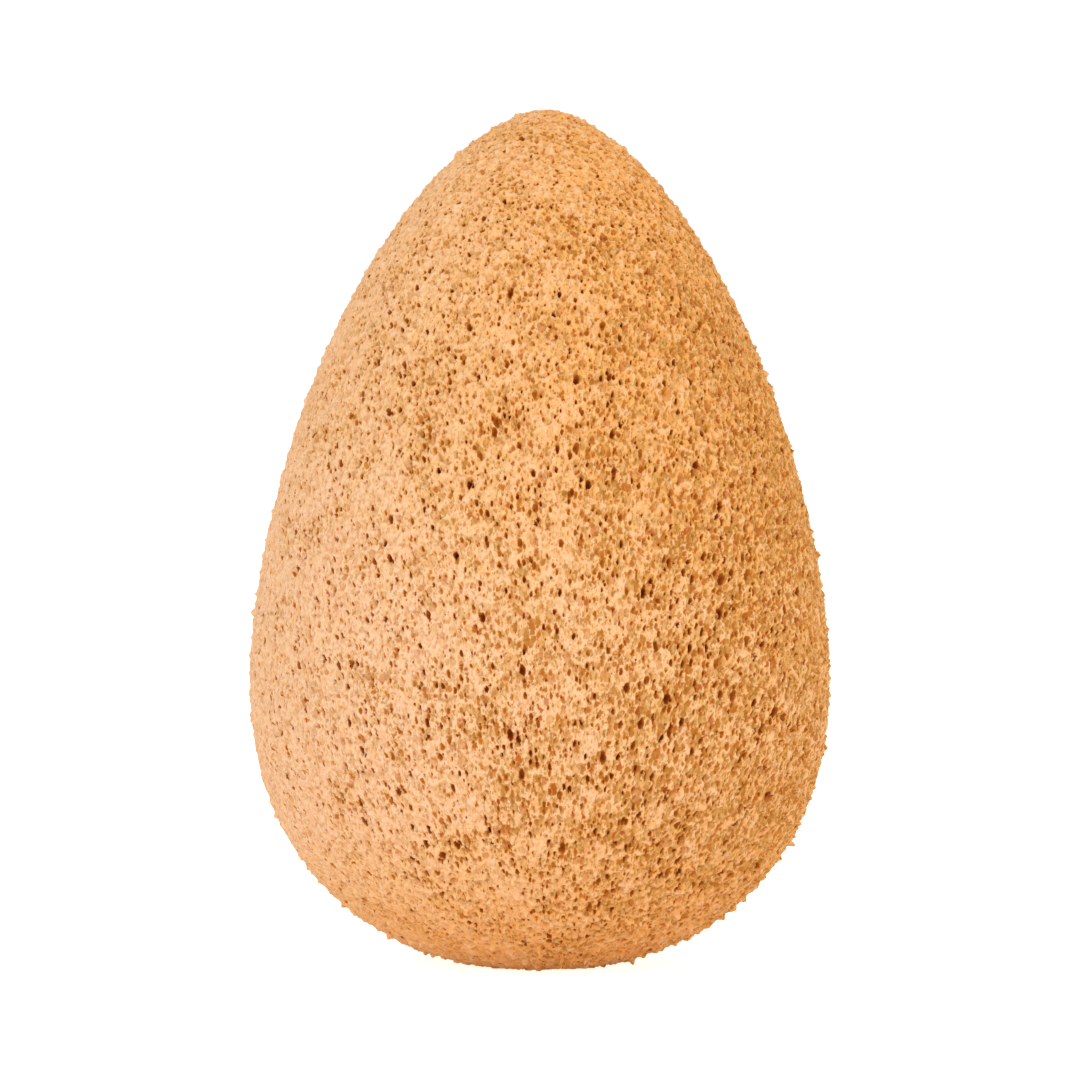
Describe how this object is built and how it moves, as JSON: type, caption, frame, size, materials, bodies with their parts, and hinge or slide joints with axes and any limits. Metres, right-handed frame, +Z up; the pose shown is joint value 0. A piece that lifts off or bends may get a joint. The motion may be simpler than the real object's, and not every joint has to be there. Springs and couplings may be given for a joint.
{
  "type": "sea sponge",
  "caption": "Egg-shaped fine-pored sponge in one piece, blunt end down, standing on a small flat cut.",
  "frame": {"origin": "centre of the flat cut at the blunt end, on the surface that the sponge stands on", "axes": "+Z up along the sponge's axis, from the flat cut to the pointed tip; the outer skin is round about Z, so +X and +Y are free"},
  "size_m": [0.0406, 0.0406, 0.06],
  "materials": {
    "sponge": "dry, matt, fine-pored sponge of a light peach colour with brown-orange pores"
  },
  "bodies": {
    "root": {"sponge": "sponge"}
  },
  "joints": []
}
